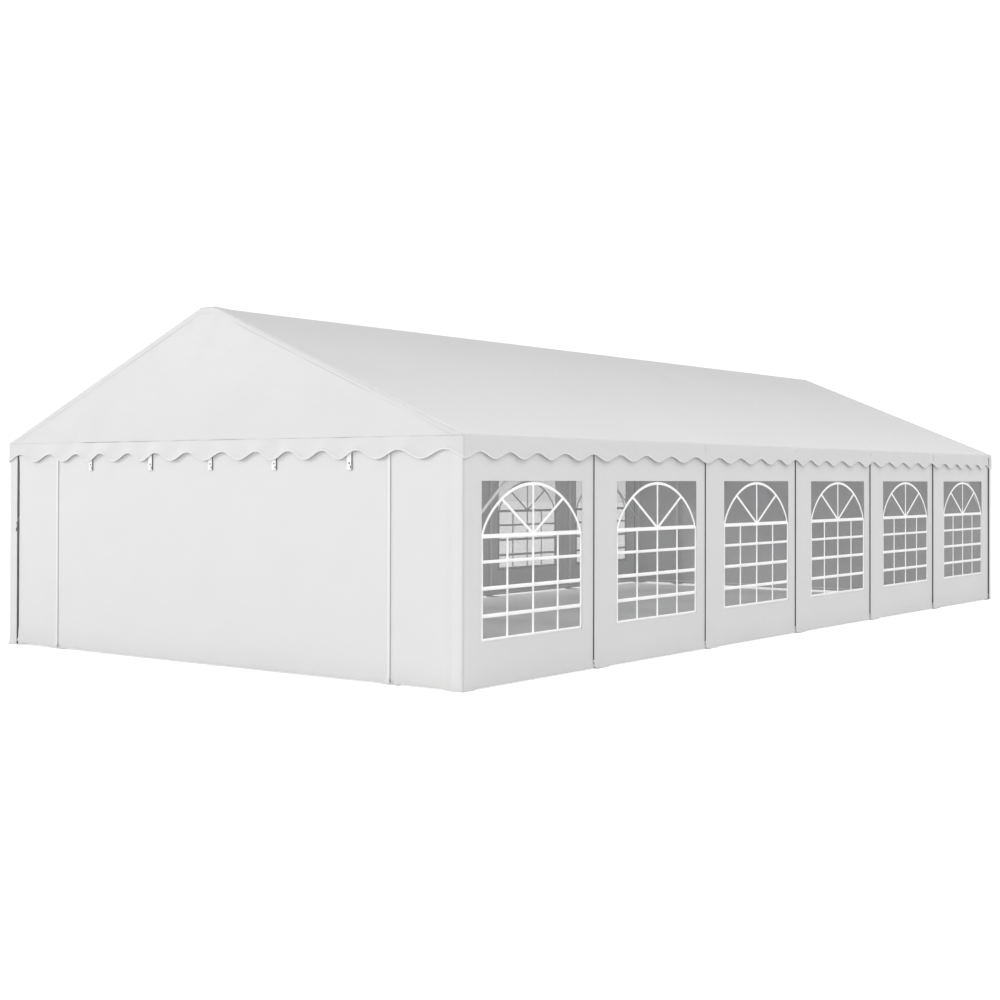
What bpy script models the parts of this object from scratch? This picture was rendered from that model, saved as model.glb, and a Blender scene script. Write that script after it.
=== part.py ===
"""Marquee tent: a white steel tube frame under a fabric roof, with window walls down both long sides.

Metres, +Z up. The origin is on the ground, at the middle of the plan. X runs across the tent and Y
along it. The front gable faces -Y, and the right-hand long wall faces +X.
"""

import math

import bmesh
import bpy
from mathutils import Matrix, Vector

# Driving dimensions, over the outside of the fabric
WIDTH = 5.80
LENGTH = 12.00
EAVE_HEIGHT = 2.02  # the fold where a slope turns down into its valance
SLOPE_APEX = 3.213  # where the two straight slopes would meet
RIDGE_HEIGHT = 3.192  # the top of the roof, drawn flatter over the ridge
RIDGE_BEND = 0.075  # from the middle to where the flatter top begins
BAYS = 6

# Fabric, its overlaps and its openings
FABRIC = 0.003
GAP = 0.0003  # what a piece keeps clear of the piece it rests on
VALANCE_AIR = 0.0025  # between a valance and the wall that hangs behind it
WALL_BOTTOM = 0.012
WALL_TOP = 1.985
SCALLOP_LOW = 1.827
SCALLOP_HIGH = 1.901
GABLE_SCALLOPS = 14
SIDE_SCALLOPS = 28
SCALLOP_STEPS = 6
JOINT_GAP = 0.018  # between one side panel and the next
JOINT_BEFORE_POST = 0.166
FRONT_WRAP_RIGHT = 0.156  # the side wall's band round the corner, laced shut
FRONT_WRAP_LEFT = 0.111  # the same band, left open
FRONT_OPEN_GAP = 0.030
REAR_WRAP = 0.110
DOOR_HALF_WIDTH = 2.144

# Windows, measured from the outside of the front gable
WINDOW_START = 0.243
WINDOW_WIDTH = 1.430
WINDOW_BOTTOM = 0.376
WINDOW_TOP = 1.649
FILM = 0.002
FILM_LAP = 0.020

# Steel tubes and their fittings
TUBE_RADIUS = 0.019
SLEEVE_RADIUS = 0.0225
SLEEVE_REACH = 0.12
CROSS_SLEEVE_REACH = 0.08
TUBE_SIDES = 12
BASE_RAIL_RADIUS = 0.016
BASE_RAIL_HEIGHT = 0.045
GABLE_RAIL_HEIGHT = 1.965
BRACE_RADIUS = 0.0125
BRACE_SLOPE = 0.767
BRACE_FOOT_FRONT = 1.212
BRACE_FOOT_REAR = 1.020
FOOT_SIZE = 0.15
FOOT_THICKNESS = 0.004

# Places worked out from those sizes
HALF_WIDTH = WIDTH / 2
HALF_LENGTH = LENGTH / 2
WALL_FACE_X = HALF_WIDTH - FABRIC - VALANCE_AIR
WALL_FACE_Y = HALF_LENGTH - FABRIC - VALANCE_AIR
WALL_BACK_X = WALL_FACE_X - FABRIC
WALL_BACK_Y = WALL_FACE_Y - FABRIC
POST_X = WALL_BACK_X - GAP - SLEEVE_RADIUS
END_FRAME_Y = WALL_BACK_Y - GAP - SLEEVE_RADIUS
TUBE_END_Y = WALL_BACK_Y - GAP
GABLE_TUBE_Y = WALL_BACK_Y - GAP - TUBE_RADIUS
BAY = 2 * END_FRAME_Y / BAYS
SLOPE = (SLOPE_APEX - EAVE_HEIGHT) / HALF_WIDTH
RIDGE_SLOPE = (RIDGE_HEIGHT - SLOPE_APEX + SLOPE * RIDGE_BEND) / RIDGE_BEND
AXIS_DEPTH = FABRIC + GAP + SLEEVE_RADIUS
SIDES = (("right", 1), ("left", -1))


def roof_height(x, depth=0.0):
    """Height at x of the line that runs depth under the outer face of the roof."""
    slope = SLOPE_APEX - SLOPE * abs(x) - depth * math.hypot(1, SLOPE)
    ridge = RIDGE_HEIGHT - RIDGE_SLOPE * abs(x) - depth * math.hypot(1, RIDGE_SLOPE)
    return min(slope, ridge)


def roof_bend(depth=0.0):
    """Where that line bends from the slope to the flatter top."""
    slope = SLOPE_APEX - depth * math.hypot(1, SLOPE)
    ridge = RIDGE_HEIGHT - depth * math.hypot(1, RIDGE_SLOPE)
    return (slope - ridge) / (SLOPE - RIDGE_SLOPE)


CORNER_HEIGHT = roof_height(POST_X, AXIS_DEPTH)
PURLIN_X = POST_X / 2


def material(name, colour, roughness, metallic=0.0, alpha=1.0):
    made = bpy.data.materials.new(name)
    made.use_nodes = True
    shader = made.node_tree.nodes["Principled BSDF"]
    shader.inputs["Base Color"].default_value = (*colour, 1.0)
    shader.inputs["Roughness"].default_value = roughness
    shader.inputs["Metallic"].default_value = metallic
    shader.inputs["Alpha"].default_value = alpha
    made.diffuse_color = (*colour, alpha)
    return made


def add_object(name, mesh, finish):
    """One named sub-part with a material of its own."""
    made = bpy.data.objects.new(name, mesh)
    bpy.context.scene.collection.objects.link(made)
    if not mesh.materials:
        mesh.materials.append(material(name, *finish))
    return made


def mesh_from(shape, name, smooth=False):
    bmesh.ops.recalc_face_normals(shape, faces=shape.faces)
    mesh = bpy.data.meshes.new(name)
    shape.to_mesh(mesh)
    shape.free()
    if smooth:
        mesh.shade_smooth()
        mesh.set_sharp_from_angle(angle=math.radians(40))
    return mesh


def skin_rings(shape, rings):
    """Faces between one ring of points and the next, with the two ends closed."""
    made = [[shape.verts.new(point) for point in ring] for ring in rings]
    count = len(rings[0])
    for near, far in zip(made, made[1:]):
        for i in range(count):
            j = (i + 1) % count
            shape.faces.new((near[i], near[j], far[j], far[i]))
    shape.faces.new(made[0])
    shape.faces.new(reversed(made[-1]))


def tube(start, end, radius, sides=TUBE_SIDES):
    """A straight closed tube as a bmesh, with a corner of its section towards X or Y."""
    start = Vector(start)
    end = Vector(end)
    along = (end - start).normalized()
    across = Vector((1, 0, 0)) if abs(along.x) < 0.5 else Vector((0, 1, 0))
    upward = along.cross(across).normalized()
    rings = []
    for centre in (start, end):
        ring = []
        for i in range(sides):
            turn = 2 * math.pi * i / sides
            ring.append(centre + radius * (math.cos(turn) * across + math.sin(turn) * upward))
        rings.append(ring)
    shape = bmesh.new()
    skin_rings(shape, rings)
    return shape


def box(low, high):
    shape = bmesh.new()
    bmesh.ops.create_cube(shape, size=1.0)
    size = [b - a for a, b in zip(low, high)]
    middle = [(a + b) / 2 for a, b in zip(low, high)]
    bmesh.ops.scale(shape, vec=size, verts=shape.verts)
    bmesh.ops.translate(shape, vec=middle, verts=shape.verts)
    return shape


def prism(outline, push):
    """A flat outline of points given its thickness by one extrusion."""
    shape = bmesh.new()
    face = shape.faces.new([shape.verts.new(point) for point in outline])
    pushed = bmesh.ops.extrude_face_region(shape, geom=[face], use_keep_orig=True)
    moved = [item for item in pushed["geom"] if isinstance(item, bmesh.types.BMVert)]
    bmesh.ops.translate(shape, vec=push, verts=moved)
    return shape


def cutter(shape, name):
    """A shape that only takes part in a Boolean."""
    made = bpy.data.objects.new(name, mesh_from(shape, name))
    bpy.context.scene.collection.objects.link(made)
    made.hide_render = True
    made.display_type = "WIRE"
    return made


def combine(made, others, operation):
    for other in others:
        step = made.modifiers.new(operation.lower(), "BOOLEAN")
        step.operation = operation
        step.solver = "EXACT"
        step.object = other


def finished_mesh(made, name):
    """The object's mesh with its Booleans worked out, so that copies can share it."""
    graph = bpy.context.evaluated_depsgraph_get()
    mesh = bpy.data.meshes.new_from_object(made.evaluated_get(graph))
    mesh.name = name
    return mesh


def smooth_round(mesh):
    mesh.shade_smooth()
    mesh.set_sharp_from_angle(angle=math.radians(40))


# Portal frames: two legs, two rafters and their fittings, as one welded and pinned frame


def portal_path():
    """Centre points and radii from the right foot up to the ridge."""
    leg_top = CORNER_HEIGHT - SLEEVE_REACH
    slope_run = 1 / math.hypot(1, SLOPE)
    bend = roof_bend(AXIS_DEPTH)
    path = [(POST_X, 0.0, TUBE_RADIUS), (POST_X, leg_top, TUBE_RADIUS)]
    path += [(POST_X, leg_top, SLEEVE_RADIUS), (POST_X, CORNER_HEIGHT, SLEEVE_RADIUS)]
    stations = (
        (POST_X - SLEEVE_REACH * slope_run, SLEEVE_RADIUS, TUBE_RADIUS),
        (PURLIN_X + SLEEVE_REACH * slope_run, TUBE_RADIUS, SLEEVE_RADIUS),
        (PURLIN_X - SLEEVE_REACH * slope_run, SLEEVE_RADIUS, TUBE_RADIUS),
        (bend + SLEEVE_REACH * slope_run, TUBE_RADIUS, SLEEVE_RADIUS),
    )
    for x, below, above in stations:
        height = roof_height(x, AXIS_DEPTH)
        path += [(x, height, below), (x, height, above)]
    path.append((bend, roof_height(bend, AXIS_DEPTH), SLEEVE_RADIUS))
    path.append((0.0, roof_height(0.0, AXIS_DEPTH), SLEEVE_RADIUS))
    return path


def portal_rings():
    """The section at each point of the path, mitred where the path bends."""
    half = portal_path()
    path = half + [(-x, z, radius) for x, z, radius in reversed(half[:-1])]
    places = []
    for x, z, _ in path:
        if not places or (Vector((x, z)) - places[-1]).length > 1e-6:
            places.append(Vector((x, z)))
    rings = []
    for x, z, radius in path:
        here = Vector((x, z))
        i = min(range(len(places)), key=lambda n: (places[n] - here).length)
        before = (places[i] - places[max(i - 1, 0)]).normalized()
        after = (places[min(i + 1, len(places) - 1)] - places[i]).normalized()
        along = (before + after).normalized()
        half_turn = along.dot(after if after.length else before)
        side = Vector((-along.y, along.x)) / max(half_turn, 0.1)
        ring = []
        for n in range(TUBE_SIDES):
            turn = 2 * math.pi * n / TUBE_SIDES
            out = radius * math.cos(turn) * side
            ring.append((x + out.x, radius * math.sin(turn), z + out.y))
        rings.append(ring)
    return rings


def cross_places():
    """Where the tubes that run along the tent pass through a frame."""
    ridge = (0.0, roof_height(0.0, AXIS_DEPTH))
    middle = (PURLIN_X, roof_height(PURLIN_X, AXIS_DEPTH))
    eave = (POST_X, CORNER_HEIGHT)
    return [ridge] + [(side * x, z) for x, z in (middle, eave) for _, side in SIDES]


def foot_plate(x_side, y_low):
    """A square base plate, set in so that its outer edge lies under the fabric."""
    x_high = HALF_WIDTH
    low = (x_high - FOOT_SIZE, y_low, 0.0)
    high = (x_high, y_low + FOOT_SIZE, FOOT_THICKNESS)
    shape = box(low, high)
    if x_side < 0:
        bmesh.ops.scale(shape, vec=(-1, 1, 1), verts=shape.verts)
    return shape


def portal_mesh(name, reach_front, reach_back, foot_low):
    """One frame about its own plane, with the reach of its cross sleeves to the front and the back."""
    shape = bmesh.new()
    skin_rings(shape, portal_rings())
    body = bpy.data.objects.new(name, mesh_from(shape, name))
    bpy.context.scene.collection.objects.link(body)
    added = []
    bored = []
    for i, (x, z) in enumerate(cross_places()):
        sleeve = tube((x, -reach_front, z), (x, reach_back, z), SLEEVE_RADIUS)
        added.append(cutter(sleeve, f"{name}_sleeve_{i}"))
        bore = tube((x, -1, z), (x, 1, z), TUBE_RADIUS + GAP)
        bored.append(cutter(bore, f"{name}_bore_{i}"))
    for side_name, side in SIDES:
        added.append(cutter(foot_plate(side, foot_low), f"{name}_foot_{side_name}"))
    combine(body, added, "UNION")
    combine(body, bored, "DIFFERENCE")
    mesh = finished_mesh(body, name)
    smooth_round(mesh)
    for helper in [body] + added + bored:
        bpy.data.objects.remove(helper)
    return mesh


STEEL = ((0.86, 0.87, 0.88), 0.35, 0.0)
FABRIC_FINISH = ((0.90, 0.90, 0.90), 0.55)
FILM_FINISH = ((0.75, 0.78, 0.80), 0.08, 0.0, 0.35)


def make_portal_frames():
    short_reach = TUBE_END_Y - END_FRAME_Y
    foot_inset = HALF_LENGTH - END_FRAME_Y
    meshes = {
        0: portal_mesh("end_frame_front", short_reach, CROSS_SLEEVE_REACH, -foot_inset),
        BAYS: portal_mesh("end_frame_rear", CROSS_SLEEVE_REACH, short_reach, foot_inset - FOOT_SIZE),
    }
    middle = portal_mesh("middle_frame", CROSS_SLEEVE_REACH, CROSS_SLEEVE_REACH, -FOOT_SIZE / 2)
    for k in range(BAYS + 1):
        made = add_object(f"portal_frame_{k + 1}", meshes.get(k, middle), STEEL)
        made.location.y = -END_FRAME_Y + k * BAY


# Tubes that run along the tent


def add_tube(name, start, end, radius):
    return add_object(name, mesh_from(tube(start, end, radius), name, smooth=True), STEEL)


def make_purlins():
    ridge_height = roof_height(0.0, AXIS_DEPTH)
    ends = (-TUBE_END_Y, TUBE_END_Y)
    add_tube("ridge_purlin", *((0.0, y, ridge_height) for y in ends), TUBE_RADIUS)
    for name, side in SIDES:
        x = side * PURLIN_X
        height = roof_height(x, AXIS_DEPTH)
        add_tube(f"slope_purlin_{name}", *((x, y, height) for y in ends), TUBE_RADIUS)


def brace(x, end, foot_height):
    """A slanting corner brace, cut upright where it meets the leg at that end of the tent."""
    reach = (CORNER_HEIGHT - foot_height) / BRACE_SLOPE
    low = Vector((x, end * END_FRAME_Y, foot_height))
    high = Vector((x, end * (END_FRAME_Y - reach), CORNER_HEIGHT))
    shape = tube(low, high, BRACE_RADIUS)
    meeting = Vector((x, end * (END_FRAME_Y - TUBE_RADIUS - GAP), 0.0))
    parts = shape.verts[:] + shape.edges[:] + shape.faces[:]
    bmesh.ops.bisect_plane(
        shape, geom=parts, plane_co=meeting, plane_no=(0, end, 0), clear_outer=True
    )
    open_edges = [edge for edge in shape.edges if edge.is_boundary]
    bmesh.ops.edgeloop_fill(shape, edges=open_edges)
    return shape


def make_eave_rails():
    for name, side in SIDES:
        x = side * POST_X
        start = (x, -TUBE_END_Y, CORNER_HEIGHT)
        end = (x, TUBE_END_Y, CORNER_HEIGHT)
        rail = add_tube(f"eave_rail_{name}", start, end, TUBE_RADIUS)
        braces = [
            cutter(brace(x, -1, BRACE_FOOT_FRONT), f"brace_front_{name}"),
            cutter(brace(x, 1, BRACE_FOOT_REAR), f"brace_rear_{name}"),
        ]
        combine(rail, braces, "UNION")


def make_base_rails():
    x = POST_X - TUBE_RADIUS - GAP - BASE_RAIL_RADIUS
    y = GABLE_TUBE_Y - BASE_RAIL_RADIUS - GAP
    for name, side in SIDES:
        start = (side * x, -y, BASE_RAIL_HEIGHT)
        end = (side * x, y, BASE_RAIL_HEIGHT)
        add_tube(f"base_rail_{name}", start, end, BASE_RAIL_RADIUS)


# Gable frames: the rail that the end wall hangs from, the two posts beside the door and the base rail


def gable_shapes(y, whole_base):
    rail_end = POST_X - SLEEVE_RADIUS - GAP
    base_end = POST_X - TUBE_RADIUS - GAP
    outer_y = math.copysign(HALF_LENGTH, y)
    foot_low_y = min(outer_y, outer_y - math.copysign(FOOT_SIZE, y))
    shapes = []
    for side in (1, -1):
        x = side * DOOR_HALF_WIDTH
        shapes.append(tube((x, y, 0.0), (x, y, GABLE_RAIL_HEIGHT), TUBE_RADIUS))
        foot_low = (x - FOOT_SIZE / 2, foot_low_y, 0.0)
        foot_high = (x + FOOT_SIZE / 2, foot_low_y + FOOT_SIZE, FOOT_THICKNESS)
        shapes.append(box(foot_low, foot_high))
        if not whole_base:
            start = (x, y, BASE_RAIL_HEIGHT)
            shapes.append(tube(start, (side * base_end, y, BASE_RAIL_HEIGHT), BASE_RAIL_RADIUS))
    if whole_base:
        left = (-base_end, y, BASE_RAIL_HEIGHT)
        shapes.append(tube(left, (base_end, y, BASE_RAIL_HEIGHT), BASE_RAIL_RADIUS))
    return (-rail_end, y, GABLE_RAIL_HEIGHT), (rail_end, y, GABLE_RAIL_HEIGHT), shapes


def make_gable_frames():
    for name, y, whole_base in (("front", -GABLE_TUBE_Y, False), ("rear", GABLE_TUBE_Y, True)):
        start, end, shapes = gable_shapes(y, whole_base)
        rail = add_tube(f"gable_frame_{name}", start, end, TUBE_RADIUS)
        parts = [cutter(shape, f"gable_part_{name}_{i}") for i, shape in enumerate(shapes)]
        combine(rail, parts, "UNION")


# Roof cover and gable covers


def scallop_height(place, span, count):
    """Height of the scalloped hem at a place along a span, lowest at the corners."""
    middle = (SCALLOP_LOW + SCALLOP_HIGH) / 2
    reach = (SCALLOP_HIGH - SCALLOP_LOW) / 2
    return middle - reach * math.cos(2 * math.pi * count * place / span)


def make_roof_cover():
    """Both slopes and both long valances in one sheet, thickened inwards."""
    shape = bmesh.new()
    steps = SIDE_SCALLOPS * SCALLOP_STEPS
    places = [LENGTH * i / steps for i in range(steps + 1)]
    crest = [shape.verts.new((0.0, y - HALF_LENGTH, RIDGE_HEIGHT)) for y in (0.0, LENGTH)]
    bend = roof_bend()
    for _, side in SIDES:
        fold = [shape.verts.new((side * bend, v.co.y, roof_height(bend))) for v in crest]
        eave = []
        hem = []
        for place in places:
            y = place - HALF_LENGTH
            low = scallop_height(place, LENGTH, SIDE_SCALLOPS)
            eave.append(shape.verts.new((side * HALF_WIDTH, y, EAVE_HEIGHT)))
            hem.append(shape.verts.new((side * HALF_WIDTH, y, low)))
        shape.faces.new((crest[0], crest[1], fold[1], fold[0]))
        shape.faces.new([fold[0], fold[1]] + eave[::-1])
        for i in range(steps):
            shape.faces.new((eave[i], eave[i + 1], hem[i + 1], hem[i]))
    bmesh.ops.recalc_face_normals(shape, faces=shape.faces)
    if sum(face.normal.z for face in shape.faces) < 0:
        bmesh.ops.reverse_faces(shape, faces=shape.faces)
    mesh = bpy.data.meshes.new("roof_cover")
    shape.to_mesh(mesh)
    shape.free()
    cover = add_object("roof_cover", mesh, FABRIC_FINISH)
    thickness = cover.modifiers.new("fabric", "SOLIDIFY")
    thickness.thickness = FABRIC
    thickness.offset = -1
    thickness.use_even_offset = True


def make_gable_covers():
    """The end triangle and its valance, hung inside the roof cover's edge."""
    side_x = HALF_WIDTH - FABRIC - GAP
    depth = FABRIC + GAP
    bend = roof_bend(depth)
    steps = GABLE_SCALLOPS * SCALLOP_STEPS
    hem = []
    for i in range(steps + 1):
        place = WIDTH * i / steps
        x = max(-side_x, min(side_x, place - HALF_WIDTH))
        hem.append((x, scallop_height(place, WIDTH, GABLE_SCALLOPS)))
    top = [(x, roof_height(x, depth)) for x in (side_x, bend, 0.0, -bend, -side_x)]
    for name, face, inward in (("front", -HALF_LENGTH, 1), ("rear", HALF_LENGTH, -1)):
        outline = [(x, face, z) for x, z in hem + top]
        shape = prism(outline, (0, inward * FABRIC, 0))
        add_object(f"gable_cover_{name}", mesh_from(shape, f"gable_cover_{name}"), FABRIC_FINISH)


# Walls and their windows


def wall_along_y(side, start, end, face=None):
    """A flat sheet in a long wall, from one place to another along the tent."""
    outer = WALL_FACE_X if face is None else face
    xs = sorted((side * outer, side * (outer - FABRIC)))
    return box((xs[0], start, WALL_BOTTOM), (xs[1], end, WALL_TOP))


def wall_across(end, start, finish):
    """A flat sheet in a gable wall, from one x to another."""
    ys = sorted((end * WALL_FACE_Y, end * WALL_BACK_Y))
    return box((start, ys[0], WALL_BOTTOM), (finish, ys[1], WALL_TOP))


def corner_sheet(side, end, reach_x, reach_y):
    """A wall sheet bent round a corner of the tent, as an outline pushed up."""
    points = [
        (WALL_FACE_X, reach_y),
        (WALL_FACE_X, WALL_FACE_Y),
        (reach_x, WALL_FACE_Y),
        (reach_x, WALL_BACK_Y),
        (WALL_BACK_X, WALL_BACK_Y),
        (WALL_BACK_X, reach_y),
    ]
    outline = [(side * x, end * y, WALL_BOTTOM) for x, y in points]
    return prism(outline, (0, 0, WALL_TOP - WALL_BOTTOM))


def joint_place(k):
    """The middle of the joint behind side panel k, along the tent."""
    return -END_FRAME_Y + k * BAY - JOINT_BEFORE_POST


def make_side_walls():
    half_gap = JOINT_GAP / 2
    last = HALF_LENGTH - REAR_WRAP - JOINT_GAP
    wraps = {"right": FRONT_WRAP_RIGHT, "left": FRONT_WRAP_LEFT}
    for name, side in SIDES:
        for k in range(1, BAYS + 1):
            end = last if k == BAYS else joint_place(k) - half_gap
            if k == 1:
                sheet = corner_sheet(side, -1, HALF_WIDTH - wraps[name], -end)
            else:
                sheet = wall_along_y(side, joint_place(k - 1) + half_gap, end)
            node = f"side_panel_{name}_{k}"
            panel = add_object(node, mesh_from(sheet, node), FABRIC_FINISH)
            start = -HALF_LENGTH + WINDOW_START + (k - 1) * BAY
            finish = start + WINDOW_WIDTH
            xs = sorted((side * (WALL_FACE_X + FABRIC), side * (WALL_BACK_X - FABRIC)))
            opening = box((xs[0], start, WINDOW_BOTTOM), (xs[1], finish, WINDOW_TOP))
            combine(panel, [cutter(opening, f"{node}_opening")], "DIFFERENCE")
            xs = sorted((side * (WALL_BACK_X - GAP), side * (WALL_BACK_X - GAP - FILM)))
            low = (xs[0], start - FILM_LAP, WINDOW_BOTTOM - FILM_LAP)
            high = (xs[1], finish + FILM_LAP, WINDOW_TOP + FILM_LAP)
            film = f"window_film_{name}_{k}"
            add_object(film, mesh_from(box(low, high), film), FILM_FINISH)


def make_end_walls():
    seam = DOOR_HALF_WIDTH + GAP
    shapes = {
        "front_panel_right": wall_across(-1, seam, HALF_WIDTH - FRONT_WRAP_RIGHT - GAP),
        "front_door": wall_across(-1, -DOOR_HALF_WIDTH, DOOR_HALF_WIDTH),
        "front_panel_left": wall_across(-1, FRONT_WRAP_LEFT + FRONT_OPEN_GAP - HALF_WIDTH, -seam),
        "rear_panel_right": corner_sheet(1, 1, seam, HALF_LENGTH - REAR_WRAP),
        "rear_door": wall_across(1, -DOOR_HALF_WIDTH, DOOR_HALF_WIDTH),
        "rear_panel_left": corner_sheet(-1, 1, seam, HALF_LENGTH - REAR_WRAP),
    }
    for name, shape in shapes.items():
        add_object(name, mesh_from(shape, name), FABRIC_FINISH)


for old in list(bpy.data.objects):
    bpy.data.objects.remove(old)
make_portal_frames()
make_purlins()
make_eave_rails()
make_base_rails()
make_gable_frames()
make_roof_cover()
make_gable_covers()
make_side_walls()
make_end_walls()
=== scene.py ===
"""White marquee tent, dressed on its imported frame.

Metres, +Z up. The origin is on the ground, at the middle of the plan. X runs across the tent and Y along
it. The front gable faces -Y, and the long wall that the camera sees faces +X.
"""

import bisect
import math

import bpy
from mathutils import Matrix, Vector, noise


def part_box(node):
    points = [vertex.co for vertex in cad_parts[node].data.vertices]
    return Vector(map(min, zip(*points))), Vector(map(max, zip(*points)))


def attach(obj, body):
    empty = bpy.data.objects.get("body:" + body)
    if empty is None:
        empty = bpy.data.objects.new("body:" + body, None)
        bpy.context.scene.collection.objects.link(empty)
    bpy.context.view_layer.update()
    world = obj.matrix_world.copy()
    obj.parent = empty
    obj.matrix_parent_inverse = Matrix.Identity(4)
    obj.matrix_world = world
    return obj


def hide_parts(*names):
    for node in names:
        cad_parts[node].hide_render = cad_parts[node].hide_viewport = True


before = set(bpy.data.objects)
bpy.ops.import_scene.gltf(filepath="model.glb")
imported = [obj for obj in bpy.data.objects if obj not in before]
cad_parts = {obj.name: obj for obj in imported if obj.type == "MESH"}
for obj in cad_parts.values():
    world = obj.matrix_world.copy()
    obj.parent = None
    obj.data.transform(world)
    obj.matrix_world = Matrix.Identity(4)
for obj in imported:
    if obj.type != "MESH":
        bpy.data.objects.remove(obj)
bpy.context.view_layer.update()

# The studio: a white sweep lit evenly by the sky and four soft lamps round the tent, with one more lamp
# inside it for the windows, and a camera at the photograph's height and angle. The floor glows for the
# camera a little outside the tent, so that it stays white up to the walls. In a strip at the foot of the
# walls it glows more, as painted light over their contact shadow. Under the roof it glows less, as a
# painted pool of window light that grows towards each long wall.
CAMERA_PLACE = (10.2349, -15.3390, 1.6555)
CAMERA_YAW = -37.0932
CAMERA_PITCH = 0.5154
CAMERA_ROLL = 0.1327
CAMERA_LENS = 54.991
CAMERA_SHIFT = (0.00879, -0.03376)
LAMPS = (
    ("lamp_left", (-0.86, -0.38, 0.34), 1.62, 10),
    ("lamp_front", (0.05, -0.92, 0.38), 0.27, 30),
    ("lamp_right", (0.42, 0.16, 0.89), 1.18, 34),
    ("lamp_top", (0.05, -0.12, 0.99), 0.12, 60),
)
INNER_LAMP_PLACE = (1.9, -0.6, 1.35)
INNER_LAMP_TILT = -78
INNER_LAMP_SIZE = (1.1, 9.6)
INNER_LAMP_POWER = 52.0
SKY = 0.865
SEEN_SKY = 1.05
GLOSS_SKY = 0.45
FLOOR_SIZE = 160
FLOOR_WHITE = 0.62
INNER_FLOOR_WHITE = 0.84
INSIDE_WALLS = (2.77, 5.68)
UNDER_WALLS = (2.85, 5.95)
OUTSIDE_WALLS = (2.93, 6.03)
FLOOR_GLOW = 0.40
WALL_FOOT_PAINTED_LIGHT = 0.66
INNER_PAINTED_LIGHT = 0.10
WINDOW_PAINTED_LIGHT = 0.26
WINDOW_PAINTED_LIGHT_START = 1.75


class Shade:
    """One socket of a material or the world, so that a pattern is written as a sum."""

    def __init__(self, tree, socket=None):
        self.tree = tree
        self.socket = socket

    def node(self, kind, settings=None, sockets=None, out=0):
        made = self.tree.nodes.new(kind)
        for name, value in (settings or {}).items():
            setattr(made, name, value)
        for name, value in (sockets or {}).items():
            if isinstance(value, Shade):
                self.tree.links.new(value.socket, made.inputs[name])
            else:
                made.inputs[name].default_value = value
        return Shade(self.tree, made.outputs[out])

    def also(self, name):
        return Shade(self.tree, self.socket.node.outputs[name])

    def into(self, shader, name):
        self.tree.links.new(self.socket, shader.inputs[name])

    def maths(self, operation, *terms, clamp=False):
        settings = {"operation": operation, "use_clamp": clamp}
        return self.node("ShaderNodeMath", settings, dict(enumerate(terms)))

    def __add__(self, other):
        return self.maths("ADD", self, other)

    def __sub__(self, other):
        return self.maths("SUBTRACT", self, other)

    def __rsub__(self, other):
        return self.maths("SUBTRACT", other, self)

    def __mul__(self, other):
        return self.maths("MULTIPLY", self, other)

    def __truediv__(self, other):
        return self.maths("DIVIDE", self, other)

    def __abs__(self):
        return self.maths("ABSOLUTE", self)

    __radd__ = __add__
    __rmul__ = __mul__

    def wave(self, pitch):
        """-1 to 1 and back over each pitch, in metres."""
        turned = self * (2 * math.pi / pitch)
        return turned.maths("SINE", turned)

    def held(self):
        """The same, kept from 0 to 1."""
        return self.maths("ADD", self, 0.0, clamp=True)

    def blend(self, first, second):
        """From the first colour to the second, as this goes from 0 to 1."""
        settings = {"data_type": "RGBA"}
        return self.node("ShaderNodeMix", settings, {0: self, 6: first, 7: second}, out=2)

    def object_place(self):
        """Where a point is, in metres."""
        return self.node("ShaderNodeTexCoord", out="Object")

    def cloth_place(self):
        """Where a point is along a sheet, with how far up it is as its Y."""
        return self.node("ShaderNodeUVMap", {"uv_map": "UVMap"}).split()

    def marked(self, name):
        """A value kept for each point of the mesh."""
        return self.node("ShaderNodeAttribute", {"attribute_name": name}, out="Fac")

    def split(self):
        """The X of a place, with its Y and Z beside it."""
        return self.node("ShaderNodeSeparateXYZ", None, {0: self})

    def mottle(self, scale, detail, **more):
        """Soft noise over a place."""
        sockets = {"Vector": self, "Scale": scale, "Detail": detail, **more}
        return self.node("ShaderNodeTexNoise", None, sockets)

    def relief(self, strength, distance, **more):
        """A bump with this as its height, distance metres deep."""
        sockets = {"Strength": strength, "Distance": distance, "Height": self, **more}
        return self.node("ShaderNodeBump", None, sockets)


def grey(tone):
    return (tone, tone, tone, 1.0)


def new_finish(name, colour, roughness):
    """A material, its shader, and a starting point for its patterns."""
    made = bpy.data.materials.new(name)
    made.use_nodes = True
    shader = made.node_tree.nodes["Principled BSDF"]
    shader.inputs["Base Color"].default_value = colour
    shader.inputs["Roughness"].default_value = roughness
    return made, shader, Shade(made.node_tree)


camera_turn = (
    Matrix.Rotation(math.radians(-CAMERA_YAW), 4, "Z")
    @ Matrix.Rotation(math.radians(90 + CAMERA_PITCH), 4, "X")
    @ Matrix.Rotation(math.radians(CAMERA_ROLL), 4, "Z")
)
bpy.ops.object.camera_add(location=CAMERA_PLACE, rotation=camera_turn.to_euler())
camera = bpy.context.object
camera.data.lens = CAMERA_LENS
camera.data.sensor_width = 36.0
camera.data.shift_x, camera.data.shift_y = CAMERA_SHIFT
camera.data.clip_end = 300.0
bpy.context.scene.camera = camera
bpy.context.scene.view_settings.view_transform = "Standard"

for lamp_name, direction, strength, angle in LAMPS:
    aim = Vector(direction).normalized()
    turn = aim.to_track_quat("Z", "Y").to_euler()
    bpy.ops.object.light_add(type="SUN", location=aim * 20, rotation=turn)
    lamp = bpy.context.object
    lamp.name = lamp_name
    lamp.data.energy = strength
    lamp.data.angle = math.radians(angle)

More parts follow.
